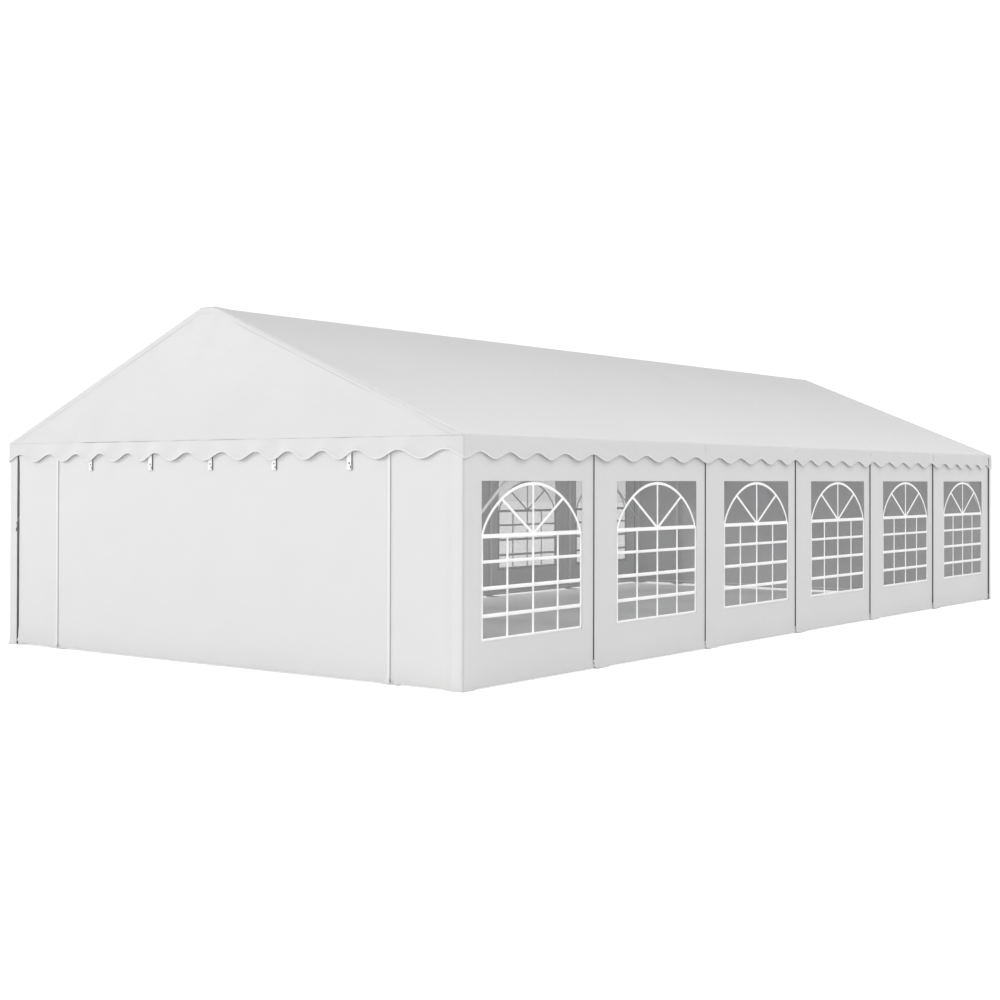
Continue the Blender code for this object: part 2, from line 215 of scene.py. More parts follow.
turn = (0, math.radians(INNER_LAMP_TILT), 0)
bpy.ops.object.light_add(type="AREA", location=INNER_LAMP_PLACE, rotation=turn)
inner_lamp = bpy.context.object
inner_lamp.name = "inner_lamp"
inner_lamp.data.shape = "RECTANGLE"
inner_lamp.data.size, inner_lamp.data.size_y = INNER_LAMP_SIZE
inner_lamp.data.energy = INNER_LAMP_POWER
inner_lamp.visible_camera = False
inner_lamp.visible_glossy = False

world = bpy.data.worlds.new("studio")
bpy.context.scene.world = world
world.use_nodes = True
sky = Shade(world.node_tree)
seen = sky.node("ShaderNodeLightPath", out="Is Camera Ray")
mirrored = seen.also("Is Glossy Ray")
background = world.node_tree.nodes["Background"]
background.inputs["Color"].default_value = grey(1.0)
(SKY + seen * (SEEN_SKY - SKY) + mirrored * (GLOSS_SKY - SKY)).into(background, "Strength")

bpy.ops.mesh.primitive_plane_add(size=FLOOR_SIZE)
floor = bpy.context.object
floor.name = "studio_floor"
paint, shader, shade = new_finish("studio_floor", grey(FLOOR_WHITE), 0.8)
spot = shade.object_place().split()


def beyond(sizes, soft):
    """0 on the floor inside that half width and half length, and 1 outside them."""
    across = (abs(spot) - sizes[0]) / soft
    along = (abs(spot.also("Y")) - sizes[1]) / soft
    return across.maths("MAXIMUM", across.held(), along.held())


# Painted light: the glow in the strip at the walls' foot covers their contact shadow, and the glow under the
# roof is a pool of window light that grows towards each long wall.
inside = 1 - beyond(INSIDE_WALLS, 0.03)
outside = beyond(OUTSIDE_WALLS, 0.05)
foot = beyond(INSIDE_WALLS, 0.03) * (1 - outside)
painted_window_light = (abs(spot) - WINDOW_PAINTED_LIGHT_START).held()
glow = outside * FLOOR_GLOW + foot * WALL_FOOT_PAINTED_LIGHT + inside * (INNER_PAINTED_LIGHT + painted_window_light * WINDOW_PAINTED_LIGHT)
looked_at = shade.node("ShaderNodeLightPath", out="Is Camera Ray")
(glow * looked_at).blend(grey(0.0), grey(1.0)).into(shader, "Emission Color")
shader.inputs["Emission Strength"].default_value = 1.0
beyond(UNDER_WALLS, 0.05).blend(grey(INNER_FLOOR_WHITE), grey(FLOOR_WHITE)).into(shader, "Base Color")
(0.75 + shade.object_place().mottle(0.25, 2.0) * 0.1).into(shader, "Roughness")
floor.data.materials.append(paint)

# The steel frame: seven portal frames, the tubes along the tent and the two gable frames, all white
# powder-coated tube from the CAD. The coat has a slight orange peel and is scuffed near the ground.
TUBE_WHITE = 0.96
SCUFF_HEIGHT = 0.16
TUBE_NODES = [f"portal_frame_{k}" for k in range(1, 8)]
TUBE_NODES += ["ridge_purlin", "gable_frame_front", "gable_frame_rear"]
for part in ("slope_purlin", "eave_rail", "base_rail"):
    TUBE_NODES += [f"{part}_left", f"{part}_right"]

tube_paint, shader, shade = new_finish("tube_powder_coat", grey(TUBE_WHITE), 0.34)
spot = shade.object_place()
scuffs = spot.mottle(38.0, 5.0)
worn = ((SCUFF_HEIGHT - spot.split().also("Z")) / SCUFF_HEIGHT).held() * (scuffs * 3.0 - 1.3).held()
worn.blend(grey(TUBE_WHITE), (0.55, 0.53, 0.50, 1.0)).into(shader, "Base Color")
(worn * 0.35 + scuffs * 0.10 + 0.13).into(shader, "Roughness")
spot.mottle(420.0, 2.0).relief(0.25, 0.0004).into(shader, "Normal")
for name in TUBE_NODES:
    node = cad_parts[name]
    node.data.materials.clear()
    node.data.materials.append(tube_paint)

# Wing screws: zinc-plated steel, one through the wall of each sleeve from the inside of the tent, where
# they clamp the tubes. One is turned and winged, and copied round each portal frame.
HALF_WIDTH = 2.90
POST_X = 2.8687
END_FRAME_Y = 5.9687
BAY = 2 * END_FRAME_Y / 6
AXIS_DEPTH = 0.0258
SLEEVE_RADIUS = 0.0225
SLOPE = 0.411379
SLOPE_APEX = 3.213
RIDGE_HEIGHT = 3.192
RIDGE_SLOPE = 0.13138
PEAK_SLOPE = 0.01138
PEAK_RISE = 0.022
PEAK_RIDGE_RISE = 0.003
LEG_SCREW_HEIGHT = 1.925
RAFTER_SCREWS = (POST_X - 0.074, POST_X / 2 + 0.078, POST_X / 2 - 0.078, 0.190)
SCREW_STEPS = 14
SCREW_PROFILE = (
    (0.0000, 0.0000),
    (0.0095, 0.0000),
    (0.0095, 0.0060),
    (0.0085, 0.0072),
    (0.0042, 0.0072),
    (0.0042, 0.0120),
    (0.0068, 0.0128),
    (0.0070, 0.0200),
    (0.0052, 0.0222),
    (0.0000, 0.0226),
)


def roof_height(x, depth=0.0, peak=0.0):
    """Height of the roof's outer face at x, or of the line that runs depth under it.

    peak is 0 along the roof, and 1 at its front end, where the ridge is drawn up over the frame.
    """
    run = abs(x)
    slope = SLOPE_APEX - SLOPE * run + PEAK_RISE * peak * (1 - run / HALF_WIDTH)
    ridge = RIDGE_HEIGHT + PEAK_RIDGE_RISE * peak - (RIDGE_SLOPE - (RIDGE_SLOPE - PEAK_SLOPE) * peak) * run
    return min(slope - depth * math.hypot(1, SLOPE), ridge - depth * math.hypot(1, RIDGE_SLOPE))


def rest(piece):
    """The piece rides on the tent's one body."""
    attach(piece, "root")


def turned(name, profile, steps):
    """A round part spun about +Z from a profile of radii and heights."""
    bpy.ops.mesh.primitive_plane_add(size=0.001)
    made = bpy.context.object
    made.name = name
    bpy.ops.object.mode_set(mode="EDIT")
    bpy.ops.mesh.delete(type="VERT")
    bpy.ops.object.mode_set(mode="OBJECT")
    made.data.from_pydata([(r, 0, h) for r, h in profile], [(i, i + 1) for i in range(len(profile) - 1)], [])
    bpy.ops.object.mode_set(mode="EDIT")
    bpy.ops.mesh.select_all(action="SELECT")
    bpy.ops.mesh.spin(steps=steps, angle=2 * math.pi, center=(0, 0, 0), axis=(0, 0, 1))
    bpy.ops.mesh.select_all(action="SELECT")
    bpy.ops.mesh.remove_doubles(threshold=0.00002)
    bpy.ops.mesh.normals_make_consistent(inside=False)
    bpy.ops.object.mode_set(mode="OBJECT")
    return made


def block(size, place, bevel):
    """A box with rounded edges."""
    bpy.ops.mesh.primitive_cube_add(size=1.0, location=place)
    made = bpy.context.object
    made.scale = size
    bpy.ops.object.transform_apply(location=True, scale=True)
    bpy.ops.object.mode_set(mode="EDIT")
    bpy.ops.mesh.bevel(offset=bevel, segments=2)
    bpy.ops.object.mode_set(mode="OBJECT")
    return made


def joined(name, pieces):
    """Several objects made one."""
    bpy.ops.object.select_all(action="DESELECT")
    for piece in pieces:
        piece.select_set(True)
    bpy.context.view_layer.objects.active = pieces[0]
    if len(pieces) > 1:
        bpy.ops.object.join()
    made = bpy.context.object
    made.name = name
    made.data.name = name
    return made


def copied(piece, name, turn):
    """A copy with its own mesh, put in place in the mesh itself."""
    made = piece.copy()
    made.data = piece.data.copy()
    made.name = name
    made.data.name = name
    made.data.transform(turn)
    bpy.context.scene.collection.objects.link(made)
    return made


zinc, shader, shade = new_finish("zinc_plate", (0.62, 0.63, 0.64, 1.0), 0.32)
shader.inputs["Metallic"].default_value = 1.0
bloom = shade.object_place().mottle(260.0, 3.0)
(bloom * 0.3 + 0.2).into(shader, "Roughness")
bloom.blend((0.56, 0.57, 0.58, 1.0), (0.70, 0.71, 0.72, 1.0)).into(shader, "Base Color")
bloom.relief(0.2, 0.0003).into(shader, "Normal")

stem = turned("screw_stem", SCREW_PROFILE, SCREW_STEPS)
wings = []
for side in (1, -1):
    wing = block((0.0150, 0.0028, 0.0120), (side * 0.0125, 0, 0.0195), 0.0011)
    for point in wing.data.vertices:
        reach = max(0.0, abs(point.co.x) - 0.006) / 0.013
        point.co.z += 0.009 * reach * reach
    wings.append(wing)
screw = joined("screw", [stem] + wings)
screw.data.materials.append(zinc)
bpy.ops.object.shade_smooth_by_angle(angle=math.radians(38))

slope_angle = math.atan(SLOPE)
for k in range(7):
    frame_y = -END_FRAME_Y + k * BAY
    spots = []
    for side in (1, -1):
        spots.append((Vector((side * POST_X, frame_y, LEG_SCREW_HEIGHT)), Vector((-side, 0, 0))))
        under = Vector((-side * math.sin(slope_angle), 0, -math.cos(slope_angle)))
        for x in RAFTER_SCREWS:
            spots.append((Vector((side * x, frame_y, roof_height(x, AXIS_DEPTH))), under))
    fitted = []
    for i, (place, out) in enumerate(spots):
        seat = Matrix.Translation(place + out * (SLEEVE_RADIUS - 0.0008))
        turn = out.to_track_quat("Z", "Y").to_matrix().to_4x4()
        fitted.append(copied(screw, f"screw_{k}_{i}", seat @ turn))
    rest(joined(f"frame_screws_{k + 1}", fitted))
bpy.data.objects.remove(screw)

# The roof cover: one sheet of white coated cloth over both slopes, with a scalloped valance down each
# long side. It is drawn tight over the tubes and dips a little between them, and its hem is bound in
# white tape.
SIDES = (("right", 1), ("left", -1))
HALF_LENGTH = 6.00
EAVE = 2.02
CLOTH = 0.003
VALANCE = 0.156
OVERHANG = 0.015
CORNER_OVERHANG = 0.0045
EDGE_ROUND = 0.012
SIDE_CRESTS = (
    *(-5.794, -5.403, -5.019, -4.615, -4.183, -3.735, -3.298, -2.848, -2.383, -1.904),
    *(-1.464, -1.014, -0.602, -0.209, 0.162, 0.560, 0.986, 1.444, 1.878, 2.343),
    *(2.781, 3.252, 3.724, 4.180, 4.616, 4.991, 5.397, 5.755),
)
EAVE_FOLD = 0.012
PEAK_LENGTH = 0.35
ROOF_SAG = 0.010
ROOF_WANDER = 0.004
LOOSE_FROM_CORNER = 0.6
CORNER_SPREAD = 0.08
SIDE_SCALLOP = (1.853, 0.0285)
CLOTH_WHITE = 0.70
# Painted shade: the roof's slopes at the ridge and at the eaves, and its valance.
ROOF_PAINTED_SHADE = (0.722, 0.900, 0.93)
# The gable cover's whites, and its valance's, which is painted shade.
GABLE_TONES_AND_VALANCE_SHADE = (0.935, 0.97, 0.91)
INNER_PAINTED_SHADE_WHITE = 0.63
TAPE_WHITE = 0.80
TAPE_SECTION = (
    (-0.0046, 0.0110),
    (-0.0046, 0.0030),
    (-0.0044, 0.0000),
    (-0.0034, -0.0018),
    (-0.0015, -0.0024),
    (0.0004, -0.0018),
    (0.0014, 0.0000),
    (0.0016, 0.0030),
    (0.0016, 0.0110),
)


def lines(places, step):
    """Grid lines through the given places, with more between them, no further than step apart."""
    made = []
    for a, b in zip(places, places[1:]):
        count = max(1, math.ceil(abs(b - a) / step - 1e-6))
        made += [a + (b - a) * i / count for i in range(count)]
    return made + [places[-1]]


def cut_out(piece, hit):
    """Delete the faces with their middle in a place that hit picks."""
    bpy.ops.object.mode_set(mode="EDIT")
    bpy.ops.mesh.select_mode(type="FACE")
    bpy.ops.mesh.select_all(action="DESELECT")
    bpy.ops.object.mode_set(mode="OBJECT")
    for face in piece.data.polygons:
        face.select = hit(face.center)
    bpy.ops.object.mode_set(mode="EDIT")
    bpy.ops.mesh.delete(type="FACE")
    bpy.ops.object.mode_set(mode="OBJECT")


def thicken(piece, thickness, offset=-1):
    """Thicken a sheet, behind its face unless offset is 1."""
    step = piece.modifiers.new("thickness", "SOLIDIFY")
    step.thickness = thickness
    step.offset = offset
    bpy.ops.object.modifier_apply(modifier=step.name)


def mark(piece, name, values):
    """Keep a value for each point of a mesh as an attribute."""
    kept = piece.data.attributes.new(name, "FLOAT", "POINT")
    for point, value in zip(kept.data, values):
        point.value = value


def hang_cloth(name, columns, rows, place, thickness, finish, openings=(), hem=None):
    """A sheet on a grid of lines, with each crossing of lines put where place says.

    The lines are metres along and up the cloth, and are kept as its UV map. openings are cut out of it.
    hem says how far a crossing is in a hem, from 0 to 1, and is kept as an attribute. The attribute
    "inner" is 1 on the back face.
    """
    wide = len(columns) - 1
    high = len(rows) - 1
    bpy.ops.mesh.primitive_grid_add(x_subdivisions=wide, y_subdivisions=high, size=2)
    sheet = bpy.context.object
    sheet.name = name
    sheet.data.name = name

    def in_opening(spot):
        i = int((spot.x + 1) / 2 * wide)
        j = int((spot.y + 1) / 2 * high)
        u = (columns[i] + columns[i + 1]) / 2
        v = (rows[j] + rows[j + 1]) / 2
        return any(a < u < b and c < v < d for a, b, c, d in openings)

    if openings:
        cut_out(sheet, in_opening)
    laid = []
    for point in sheet.data.vertices:
        u = columns[round((point.co.x + 1) / 2 * wide)]
        v = rows[round((point.co.y + 1) / 2 * high)]
        laid.append((u, v))
        point.co = place(u, v)
    chart = sheet.data.uv_layers.active.data
    for loop in sheet.data.loops:
        chart[loop.index].uv = laid[loop.vertex_index]
    mark(sheet, "hem", [hem(u, v) if hem else 0.0 for u, v in laid])
    if thickness:
        thicken(sheet, thickness)
    mark(sheet, "inner", [1.0 if i >= len(laid) else 0.0 for i in range(len(sheet.data.vertices))])
    bpy.ops.object.shade_smooth_by_angle(angle=math.radians(40))
    sheet.data.materials.append(finish)
    return sheet


def coated_cloth(name, white, relief, seam_and_shadow_lines=(), covers=None):
    """White coated cloth: a fine weave, faint handling creases, ribbed welds, a little dust low down, and
    darker again towards the ground over the last five centimetres.

    covers is for the roof and the gable covers. On the roof the slopes are painted darker towards the
    ridge and lighter towards the eaves, and its valance darker than the walls: painted shade. The gable
    cover's white is a little below the walls', and its valance is darker again, as painted shade.
    seam_and_shadow_lines are dark lines along the cloth: the middle, half width and tone of each, each
    broken into patches. The gable's line under its seam and the band's line along its lower edge are
    painted shadow under the laps there. A sheet without such lines is painted a little darker along the
    fold at the tent's corners: painted shade at the fold. The inner face of every sheet is painted a
    darker white: painted shade for the inside of the tent.
    """
    made, shader, shade = new_finish(name, grey(white), 0.5)
    laid = shade.cloth_place()
    up = laid.also("Y")
    spot = shade.object_place()
    height = spot.split().also("Z")
    weave = laid.wave(0.0026) * up.wave(0.0026)
    weld = shade.marked("hem")
    ribs = weld * (laid + up).wave(0.005)
    cloudy = spot.mottle(1.3, 3.0)
    dust = ((0.20 - height) / 0.20).held() * (spot.mottle(60.0, 4.0) * 0.6 + cloudy * 0.6 - 0.25).held()
    face = cloudy.blend(grey(white), grey(white * 0.965))
    if covers == "roof":
        # Painted shade: the slopes darker towards the ridge and lighter towards the eaves, the valance
        # darker than the walls.
        upper, lower, valance = (grey(white * tone) for tone in ROOF_PAINTED_SHADE)
        slopes = (abs(laid) / HALF_WIDTH + (cloudy - 0.5) * 0.12).held().blend(upper, lower)
        face = ((abs(laid) - HALF_WIDTH) * 80.0).held().blend(slopes, valance)
    if covers == "gable":
        # The gable's valance is painted darker than its triangle: painted shade.
        first, second, valance = (grey(white * tone) for tone in GABLE_TONES_AND_VALANCE_SHADE)
        face = ((1.0 - up) * 80.0).held().blend(cloudy.blend(first, second), valance)
    # Dark lines along the welds, broken into patches; those under the laps are painted shadow.
    for middle, half_width, tone in seam_and_shadow_lines:
        line = (1.4 - abs(up - middle) / half_width).held()
        patches = spot.mottle(1.1 + middle, 2.0)
        line = line * (0.08 + (patches * 7.0 - 3.2).held() * 0.92)
        face = line.blend(face, grey(tone))
    # Painted shade: darker along the fold at the tent's corners.
    if not seam_and_shadow_lines:
        corner = laid - 0.007
        if covers == "roof":
            corner = HALF_LENGTH - 0.009 - abs(up) + ((HALF_WIDTH + 0.015 - abs(laid)) * 80.0).held()
        face = (1.3 - abs(corner) / 0.014).held().blend(face, grey(white * 0.85))
    # Painted shade: the inner face is a darker white, for the inside of the tent.
    inner = shade.marked("inner")
    face = inner.blend(face, grey(INNER_PAINTED_SHADE_WHITE))
    # Darker low down: dust in patches within 20 cm of the ground, and darker again towards the ground over
    # the last 5 cm.
    darker_low_down = (dust * 0.35 + ((0.05 - height) / 0.05).held() * 0.12).held()
    darker_low_down.blend(face, (0.48, 0.475, 0.46, 1.0)).into(shader, "Base Color")
    (0.42 + cloudy * 0.14 + weld * 0.06 + dust * 0.2).into(shader, "Roughness")
    shader.inputs["Specular IOR Level"].default_value = 0.4
    shader.inputs["Sheen Weight"].default_value = 0.05
    creases = spot.mottle(2.6, 4.0, Roughness=0.55).relief(1.0, relief)
    (weave + ribs * 1.5).relief(0.35, 0.0003, Normal=creases).into(shader, "Normal")
    return made


def binding_tape(name, white):
    """White ribbed binding tape, sewn on near its upper edge."""
    made, shader, shade = new_finish(name, grey(white), 0.5)
    laid = shade.cloth_place()
    grime = shade.object_place().mottle(24.0, 4.0)
    grime.blend(grey(white), grey(white * 0.94)).into(shader, "Base Color")
    (0.45 + grime * 0.15).into(shader, "Roughness")
    stitch = (laid.wave(0.0045) + 0.2).held()
    (laid.wave(0.0016) + stitch).relief(0.4, 0.0003).into(shader, "Normal")
    return made


def scallop(place, crests, middle, swing):
    """Height of the scalloped hem, with its crests at the given places along it."""
    if place <= crests[0]:
        phase = max(-0.5, (place - crests[0]) / (crests[1] - crests[0]))
    elif place >= crests[-1]:
        phase = min(0.5, (place - crests[-1]) / (crests[-1] - crests[-2]))
    else:
        k = bisect.bisect_right(crests, place) - 1
        phase = (place - crests[k]) / (crests[k + 1] - crests[k])
    return middle + swing * math.cos(2 * math.pi * phase)


def ripple(a, b, seed, size):
    """A smooth wander of about size, with no repeat that shows."""
    return size * noise.noise(Vector((a, b, seed)))


def flare(place, drop, middle):
    """How far a valance stands out: it clears the eave, and hangs loose between the corners."""
    loose = 1.0 + 0.15 * noise.noise(Vector((place * 2.3, 6.1, 0.3)))
    return drop * (CORNER_OVERHANG + (OVERHANG * loose - CORNER_OVERHANG) * middle)


def folded(along, start, finish, radius):
    """A point on a fold of that radius, from -radius before it to radius after it, as its own shift."""
    turn = (along + radius) / (2 * radius)
    return radius * ((1 - turn) ** 2 * Vector(start) + turn**2 * Vector(finish))


def roof_place(across, y):
    """Across is x on the slopes, and goes on down the valance past the eave."""
    side = 1 if across > 0 else -1
    run = abs(across)
    past = run - HALF_WIDTH
    if abs(past) < EAVE_FOLD:
        up_slope = (-0.9248, 0, 0.3805)
        shift = folded(past, up_slope, (0, 0, -1), EAVE_FOLD)
        return (side * (HALF_WIDTH + shift.x), y, EAVE + shift.z)
    if past < 0:
        bay = ((y + END_FRAME_Y) / BAY) % 1.0 if abs(y) < END_FRAME_Y else 0.0
        half = (run / (POST_X / 2)) % 1.0 if run < POST_X else 0.0
        between = math.sin(math.pi * bay) ** 2 * math.sin(math.pi * half) ** 2
        sag = (ROOF_SAG + max(0.0, ripple(run * 1.2, y * 0.8, side, ROOF_WANDER))) * between
        peak = max(0.0, 1 - (HALF_LENGTH + y) / PEAK_LENGTH) ** 2
        turn = max(0.0, abs(y) - HALF_LENGTH + EDGE_ROUND) / EDGE_ROUND
        edge = EDGE_ROUND * (1 - math.sqrt(max(0.0, 1 - turn * turn)))
        sag += edge * min(1.0, (HALF_WIDTH - run) / 0.07)
        return (side * run, y, roof_height(run, 0.0, peak) - sag)
    drop = past / VALANCE
    low = scallop(y, SIDE_CRESTS, *SIDE_SCALLOP)
    out = flare(y, drop, min(1.0, (HALF_LENGTH - abs(y)) / LOOSE_FROM_CORNER))
    corner = max(0.0, 1 - (HALF_LENGTH - abs(y)) / CORNER_SPREAD)
    return (side * (HALF_WIDTH + out), y + math.copysign(out * corner, y), EAVE - drop * (EAVE - low))


def tape_round(name, places, edge, out):
    """White tape folded over the edge of a cloth and sewn through.

    edge gives the point of the edge and the unit vector into the cloth, and out is the way out of it.
    """
    around = [0.0]
    for (a, b), (c, d) in zip(TAPE_SECTION, TAPE_SECTION[1:]):
        around.append(around[-1] + math.hypot(c - a, d - b))
    section = dict(zip(around, TAPE_SECTION))

    def place(along, turn):
        off, inward = section[turn]
        point, into = edge(along)
        return point + into * inward + out * off

    tape = hang_cloth(name, places, around, place, 0.0008, white_tape)
    rest(tape)
    return tape


roof_cloth = coated_cloth("roof_cloth", CLOTH_WHITE, 0.010, covers="roof")
white_tape = binding_tape("white_tape", TAPE_WHITE)

purlin_lines = [POST_X / 2 - 0.02, POST_X / 2 + 0.02]
half_lines = lines([0.0, 0.063, 0.070, 0.075, 0.082, 0.090, 0.105, *purlin_lines, 2.84, 2.888], 0.10)
half_lines += [2.892, 2.896, 2.900, 2.904, 2.908, 2.912]
valance_lines = (0.12, 0.18, 0.24, 0.30, 0.36, 0.42, 0.56, 0.72, 0.86, 0.94, 1.0)
half_lines += [HALF_WIDTH + VALANCE * drop for drop in valance_lines]
roof_columns = [-a for a in reversed(half_lines[1:])] + half_lines
round_rows = [HALF_LENGTH - EDGE_ROUND * (1 - math.sin(math.radians(turn))) for turn in (90, 68, 45, 22, 0)]
roof_rows = [-y for y in round_rows] + lines([-5.980, 5.980], 2 * HALF_LENGTH / 396) + round_rows[::-1]
roof = hang_cloth("roof_sheet", roof_columns, roof_rows, roof_place, CLOTH, roof_cloth)
rest(roof)
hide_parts("roof_cover")
for side_name, side in SIDES:

    def hem_edge(y):
        reach = HALF_WIDTH + VALANCE
        here = Vector(roof_place(side * reach, y))
        ahead = Vector(roof_place(side * reach, y + 0.002)) - here
        return here, Vector((0, -ahead.z, ahead.y)).normalized()

    places = roof_rows if side > 0 else roof_rows[::-1]
    name = f"valance_tape_{side_name}"
    tape_round(name, places, hem_edge, Vector((side, 0, 0)))

# The gable covers: a triangle of the same cloth at each end with its own scalloped valance, welded under
# the roof's edge. A band of the roof cloth is folded down over the slopes and welded on.
ENDS = (("front", -1), ("rear", 1))
GABLE_CRESTS = (
    *(-2.716, -2.243, -1.826, -1.474, -1.068, -0.689, -0.255),
    *(0.201, 0.627, 1.014, 1.410, 1.791, 2.244, 2.718),
)
GABLE_SCALLOP = (1.861, 0.037)
GABLE_SIDE = 2.8967
SEAM = 2.006
BAND = 0.042
BAND_WHITE = 0.665
# Dark lines painted along the gable's seam and the band's edges. The gable's line and the band's line at its
# lower edge are painted shadow under the laps.
GABLE_SEAM_SHADOW = ((0.984, 0.018, 0.32),)
BAND_SHADOW_AND_SEAM_LINES = ((0.0015, 0.0018, 0.34), (0.032, 0.0015, 0.46))


def gable_place(end, x, up):
    """up is 0 at the hem, 1 at the seam and 2 at the roof."""
    if up <= 1.0:
        drop = 1.0 - up
        low = scallop(-end * x, GABLE_CRESTS, *GABLE_SCALLOP)
        out = flare(x, drop, min(1.0, (GABLE_SIDE - abs(x)) / LOOSE_FROM_CORNER))
        corner = max(0.0, 1 - (GABLE_SIDE - abs(x)) / CORNER_SPREAD)
        z = SEAM - drop * (SEAM - low)
        return Vector((x + math.copysign(out * corner, x), end * (HALF_LENGTH + out), z))
    top = gable_top(end, x)
    z = SEAM + (up - 1.0) * (top - SEAM)
    return Vector((x, end * (HALF_LENGTH + gable_lift(x, z)), z))


def gable_top(end, x):
    """Height of the roof's rounded edge, which the triangle is welded to."""
    fall = EDGE_ROUND * min(1.0, (HALF_WIDTH - abs(x)) / 0.07)
    return roof_height(x, 0.0, 1.0 if end < 0 else 0.0) - fall - 0.0005


def gable_lift(x, z):
    """The triangle laps over the valance at the seam, and bellies a little between its edges."""
    lap = 0.0016 + 0.0022 * max(0.0, noise.noise(Vector((x * 1.3, 4.0, 0.7))) * 2.0)
    edge = max(0.0, min(1.0, (roof_height(x) - z - 0.05) / 0.5)) * min(1.0, (z - SEAM) / 0.3)
    return lap + edge * (0.003 + ripple(x * 0.7, z * 0.9, 2.0, 0.004))


gable_cloth = coated_cloth("gable_cloth", CLOTH_WHITE, 0.010, GABLE_SEAM_SHADOW, "gable")
band_cloth = coated_cloth("band_cloth", BAND_WHITE, 0.004, BAND_SHADOW_AND_SEAM_LINES)
gable_columns = lines([-GABLE_SIDE, -2.86, -0.078, 0.078, 2.86, GABLE_SIDE], 2 * GABLE_SIDE / 200)
gable_rows = [0.0, 0.05, 0.14, 0.28, 0.44, 0.58, 0.64, 0.70, 0.76, 0.82, 0.88, 0.995, 1.0, 1.004]
gable_rows += [1.0 + t / 16 for t in range(1, 17)]
for end_name, end in ENDS:

    def cover_place(x, up):
        if up == 1.0:
            return gable_place(end, x, 1.0001)
        return gable_place(end, x, up)

    columns = gable_columns if end < 0 else gable_columns[::-1]
    cover = hang_cloth(f"gable_sheet_{end_name}", columns, gable_rows, cover_place, CLOTH, gable_cloth)
    rest(cover)
    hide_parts(f"gable_cover_{end_name}")

    def band_place(x, across):
        top = gable_top(end, x) - 0.002
        low = max(top - BAND * math.hypot(1, SLOPE), SEAM + 0.0012)
        z = top - (BAND - across) / BAND * (top - low)
        return Vector((x, end * (HALF_LENGTH + gable_lift(x, z) + 0.0013), z))

    band_columns = lines([-2.894, -0.090, -0.075, 0.0, 0.075, 0.090, 2.894], 0.05)
    band_columns = band_columns if end < 0 else band_columns[::-1]
    band_rows = [0.0, 0.003, 0.012, 0.022, 0.032, BAND]
    band = hang_cloth(f"gable_band_{end_name}", band_columns, band_rows, band_place, 0.0012, band_cloth)
    rest(band)

    def hem_edge(x):
        here = gable_place(end, x, 0.0)
        ahead = gable_place(end, x + 0.002, 0.0) - here
        return here, Vector((-ahead.z, 0, ahead.x)).normalized()

    tape = tape_round(f"gable_tape_{end_name}", columns, hem_edge, Vector((0, end, 0)))

# The long walls: one sheet of cloth to a bay, hung from the eave tube, with a welded hem all round and
# another round its window. The first sheet of each side is bent round the front corner, and the leading
# edge of the others is bound in white tape.
FACE_X = 2.8945
FACE_Y = 5.9945
WALL_TOP = 1.985
WALL_BOTTOM = 0.012
WINDOW_START = 0.243
WINDOW_WIDTH = 1.430
WINDOW_LOW = 0.376
WINDOW_HIGH = 1.649
WINDOW_WELD = 0.022
HEM = 0.030
BEND = 0.008
BEND_LINES = (-BEND, -BEND / 2, 0.0, BEND / 2, BEND)
LEDGE = 0.0005
HEM_RISE = 0.0006
HEM_ROWS = (WALL_BOTTOM, WALL_BOTTOM + 0.015, WALL_BOTTOM + HEM, WALL_BOTTOM + HEM + LEDGE)
JOINT_BEFORE_POST = 0.166 - (HALF_LENGTH - END_FRAME_Y)
FLAPS = {
    2: (0.010, 0.0130),
    3: (0.018, 0.0130),
    4: (0.027, 0.0145),
    5: (0.030, 0.0156),
    6: (0.029, 0.0180),
    "rear": (0.015, 0.0210),
}
FLAP_WIDTH = 0.045
JOINT_ZIP = (-0.004, 0.014, 0.033)
UNDERLAP = 0.010
CORNER_CURL = 0.028
CURL_LENGTH = 0.15
CURL_HEIGHT = 0.075
OPEN_CORNER_FLARE = 0.022
OPEN_CORNER_START = 0.0075
HEM_DIP = 0.0075
FOOT_REACH = 0.080
FEET = (-5.0385, -0.7505, -0.0722, 0.0722, *(FACE_Y - END_FRAME_Y + BAY * k for k in range(1, 6)))


def wall_spot(side, end, run):
    """A point of the wall's outer face in plan and the way out of it, at a distance round a corner.

    run is positive along the long wall and negative along the gable wall.
    """
    if run > BEND:
        return Vector((side * FACE_X, end * (FACE_Y - run), 0)), Vector((side, 0, 0))
    if run < -BEND:
        return Vector((side * (FACE_X + run), end * FACE_Y, 0)), Vector((0, end, 0))
    turn = (run + BEND) / (2 * BEND)
    x = FACE_X - BEND * (1 - turn) ** 2
    y = FACE_Y - BEND * turn**2
    return Vector((side * x, end * y, 0)), Vector((side * turn, end * (1 - turn), 0)).normalized()


def flap_lift(past, stood_off):
    """How far the free leading edge of a wall sheet stands off, at a distance from that edge."""
    return stood_off * max(0.0, 1 - past / FLAP_WIDTH) ** 1.5


def in_hem(run, z, start, finish):
    """1 in the hem of a wall sheet, and 0 in its field."""
    edge = min(run - start, finish - run, z - WALL_BOTTOM)
    return 1.0 if edge < HEM + LEDGE / 2 else 0.0


